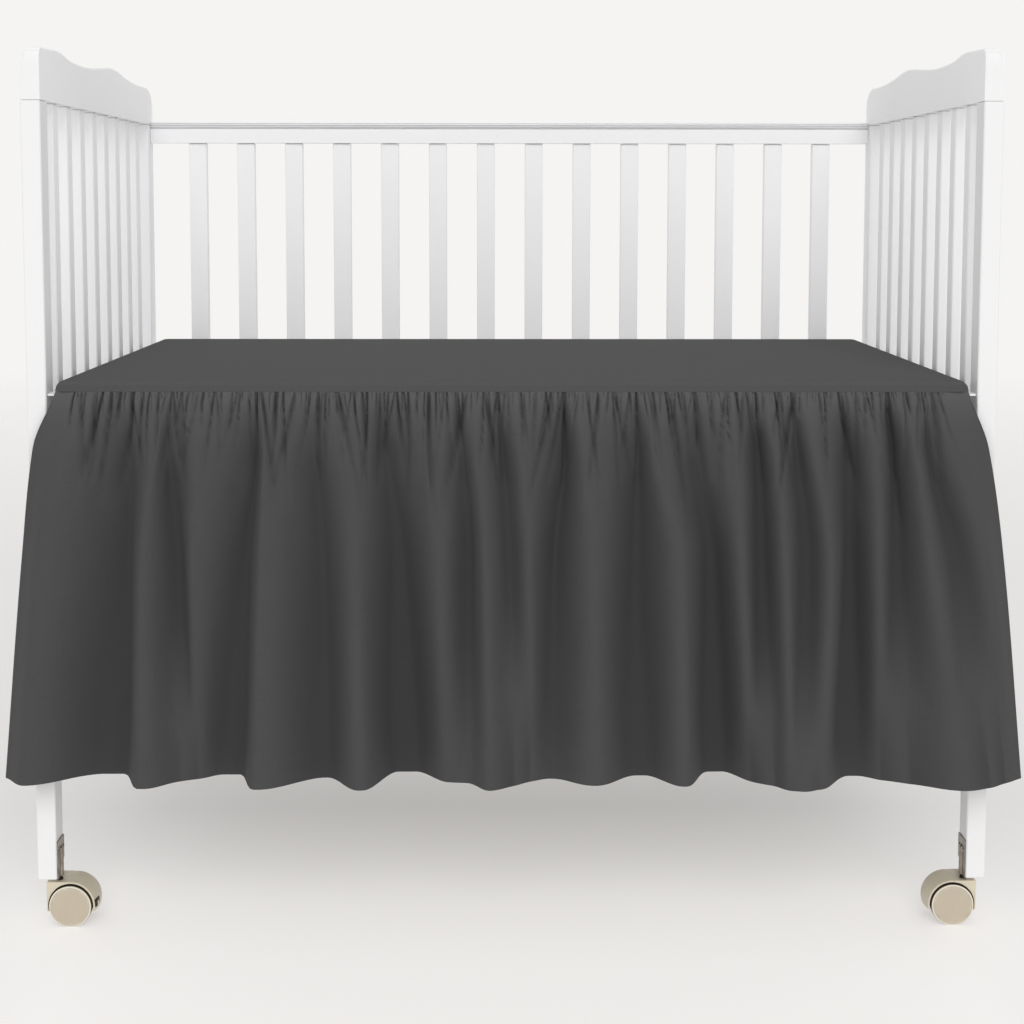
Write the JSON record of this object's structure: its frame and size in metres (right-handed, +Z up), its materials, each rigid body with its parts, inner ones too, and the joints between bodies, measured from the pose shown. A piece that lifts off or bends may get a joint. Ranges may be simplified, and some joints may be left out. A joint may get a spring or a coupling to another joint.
{
  "type": "bed skirt on a crib",
  "caption": "Dark gathered bed skirt with a flat platform over the deck of a plain white slatted crib; its front panel flares in uneven folds past the posts to a wavy hem above the casters.",
  "frame": {"origin": "middle of the footprint, on the floor", "axes": "+X along the crib to the right as seen from the front, +Y to the back, +Z up"},
  "size_m": [1.455, 0.898, 1.282],
  "materials": {
    "white_paint": "white satin paint on wood",
    "deck_board": "white-faced board",
    "dark_steel": "dull plated steel",
    "beige_plastic": "satin moulded plastic",
    "charcoal_cloth": "matt woven cotton and linen cloth"
  },
  "bodies": {
    "root": {"skirt_platform": "charcoal_cloth", "skirt_front": "charcoal_cloth", "skirt_left": "charcoal_cloth", "skirt_right": "charcoal_cloth", "skirt_back": "charcoal_cloth", "deck_board": "deck_board", "deck_hanger_left": "white_paint", "deck_hanger_right": "white_paint", "post_front_left": "white_paint", "post_front_right": "white_paint", "post_back_left": "white_paint", "post_back_right": "white_paint", "end_cap_left": "white_paint", "end_rail_left": "white_paint", "end_slat_left_1": "white_paint", "end_slat_left_2": "white_paint", "end_slat_left_3": "white_paint", "end_slat_left_4": "white_paint", "end_slat_left_5": "white_paint", "end_slat_left_6": "white_paint", "end_slat_left_7": "white_paint", "end_slat_left_8": "white_paint", "end_cap_right": "white_paint", "end_rail_right": "white_paint", "end_slat_right_1": "white_paint", "end_slat_right_2": "white_paint", "end_slat_right_3": "white_paint", "end_slat_right_4": "white_paint", "end_slat_right_5": "white_paint", "end_slat_right_6": "white_paint", "end_slat_right_7": "white_paint", "end_slat_right_8": "white_paint", "back_rail": "white_paint", "back_lower_rail": "white_paint", "back_slat_01": "white_paint", "back_slat_02": "white_paint", "back_slat_03": "white_paint", "back_slat_04": "white_paint", "back_slat_05": "white_paint", "back_slat_06": "white_paint", "back_slat_07": "white_paint", "back_slat_08": "white_paint", "back_slat_09": "white_paint", "back_slat_10": "white_paint", "back_slat_11": "white_paint", "back_slat_12": "white_paint", "back_slat_13": "white_paint", "back_slat_14": "white_paint", "caster_plate_front_left": "dark_steel", "caster_hood_front_left": "beige_plastic", "caster_wheels_front_left": "beige_plastic", "caster_plate_front_right": "dark_steel", "caster_hood_front_right": "beige_plastic", "caster_wheels_front_right": "beige_plastic", "caster_plate_back_left": "dark_steel", "caster_hood_back_left": "beige_plastic", "caster_wheels_back_left": "beige_plastic", "caster_plate_back_right": "dark_steel", "caster_hood_back_right": "beige_plastic", "caster_wheels_back_right": "beige_plastic"}
  },
  "joints": []
}
